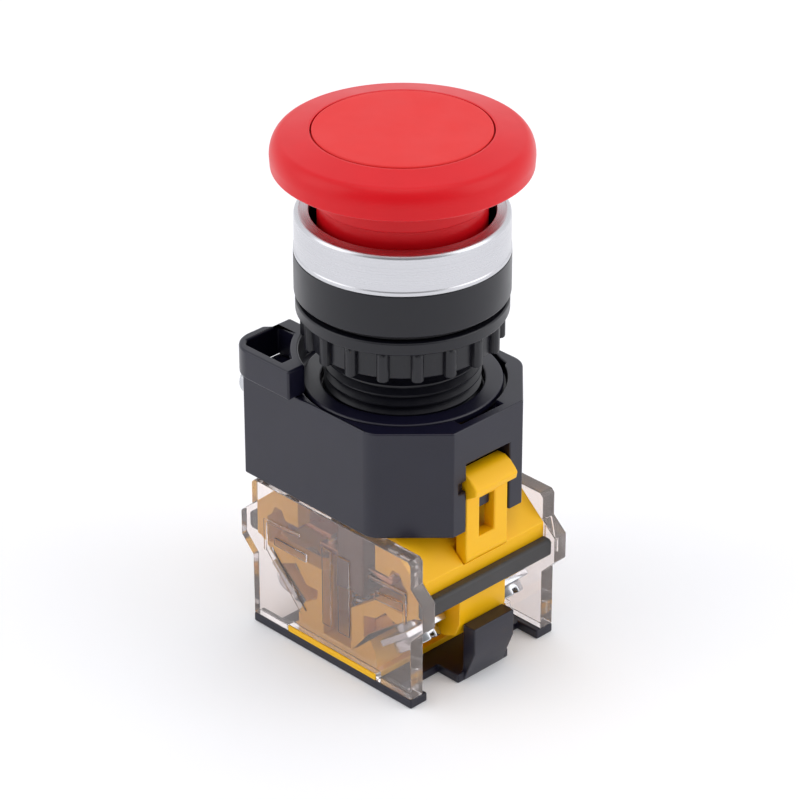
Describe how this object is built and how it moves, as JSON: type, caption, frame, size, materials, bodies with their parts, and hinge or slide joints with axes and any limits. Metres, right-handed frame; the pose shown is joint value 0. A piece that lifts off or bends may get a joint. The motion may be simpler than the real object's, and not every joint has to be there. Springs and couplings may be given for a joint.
{
  "type": "mushroom push button with contact block",
  "caption": "Panel-mounted emergency stop push button: red mushroom cap, metal bezel, threaded neck with nut, clip-on adapter and contact block under clear covers.",
  "frame": {"origin": "on the neck's axis, at the underside of the panel gasket, where the panel's face lies", "axes": "+Z out of the panel towards the mushroom cap; X along the contact block's length; Y across it, with the normally closed contact on the -Y side"},
  "size_m": [0.0376, 0.036, 0.0794],
  "materials": {
    "cap_plastic": "moulded, satin gloss red",
    "bezel_metal": "turned and satin anodised",
    "black_plastic": "moulded, black",
    "gasket_rubber": "moulded rubber",
    "spring_steel": "drawn spring wire",
    "screw_steel": "zinc-plated steel",
    "yellow_plastic": "moulded, yellow",
    "clear_plastic": "clear moulded plastic",
    "grey_plastic": "moulded, dark grey",
    "contact_brass": "stamped copper alloy strip",
    "contact_silver": "silver contact tips"
  },
  "bodies": {
    "housing": {"head_body": "black_plastic", "bezel_ring": "bezel_metal", "return_spring": "spring_steel", "panel_gasket": "gasket_rubber", "adapter_housing": "black_plastic", "clamp_screw": "screw_steel", "contact_block_body": "yellow_plastic", "terminal_shroud_right": "grey_plastic", "terminal_shroud_left": "grey_plastic", "cover_front": "clear_plastic", "cover_rear": "clear_plastic", "base_plate": "black_plastic", "terminal_screws": "screw_steel", "carrier_spring_no": "spring_steel", "fixed_contact_no_right": "contact_brass", "fixed_tip_no_right": "contact_silver", "clamp_plate_no_right": "screw_steel", "fixed_contact_no_left": "contact_brass", "fixed_tip_no_left": "contact_silver", "clamp_plate_no_left": "screw_steel", "carrier_spring_nc": "spring_steel", "fixed_contact_nc_right": "contact_brass", "fixed_tip_nc_right": "contact_silver", "clamp_plate_nc_right": "screw_steel", "fixed_contact_nc_left": "contact_brass", "fixed_tip_nc_left": "contact_silver", "clamp_plate_nc_left": "screw_steel"},
    "button": {"mushroom_cap": "cap_plastic", "cap_disc": "cap_plastic", "plunger_stem": "black_plastic", "stem_clip": "spring_steel"},
    "carrier_no": {"carrier_no": "black_plastic", "bridge_no": "contact_brass", "moving_tips_no": "contact_silver", "bridge_spring_no": "spring_steel"},
    "carrier_nc": {"carrier_nc": "black_plastic", "bridge_nc": "contact_brass", "moving_tips_nc": "contact_silver", "bridge_spring_nc": "spring_steel"},
    "nut": {"mounting_nut": "black_plastic"},
    "lever": {"lock_lever": "black_plastic"},
    "latch_right": {"latch_right": "yellow_plastic"},
    "latch_left": {"latch_left": "yellow_plastic"}
  },
  "joints": [
    {"name": "button_press", "type": "slide", "parent": "housing", "child": "button", "axis": [0, 0, -1], "range_m": [0, 0.004], "stiffness_N_per_m": 2000, "springref_m": -0.003, "deforming": ["return_spring"]},
    {"name": "carrier_no_slide", "type": "slide", "parent": "housing", "child": "carrier_no", "axis": [0, 0, -1], "range_m": [0, 0.004], "deforming": ["carrier_spring_no"]},
    {"name": "carrier_nc_slide", "type": "slide", "parent": "housing", "child": "carrier_nc", "axis": [0, 0, -1], "range_m": [0, 0.004], "deforming": ["carrier_spring_nc"]},
    {"name": "nut_travel", "type": "slide", "parent": "housing", "child": "nut", "axis": [0, 0, -1], "range_m": [0, 0.0062]},
    {"name": "lever_unlock", "type": "hinge", "parent": "housing", "child": "lever", "pos_m": [0, 0, -0.0136], "axis": [0, 0, -1], "range_deg": [0, 30]},
    {"name": "latch_right_flex", "type": "hinge", "parent": "housing", "child": "latch_right", "pos_m": [0.0157, 0, -0.034], "axis": [0, 1, 0], "range_deg": [0, 8], "stiffness_Nm_per_rad": 0.8},
    {"name": "latch_left_flex", "type": "hinge", "parent": "housing", "child": "latch_left", "pos_m": [-0.0157, 0, -0.034], "axis": [0, -1, 0], "range_deg": [0, 8], "stiffness_Nm_per_rad": 0.8}
  ],
  "couplings": [
    {"joint": "carrier_no_slide", "follows": "button_press", "ratio": 1},
    {"joint": "carrier_nc_slide", "follows": "button_press", "ratio": 1}
  ]
}
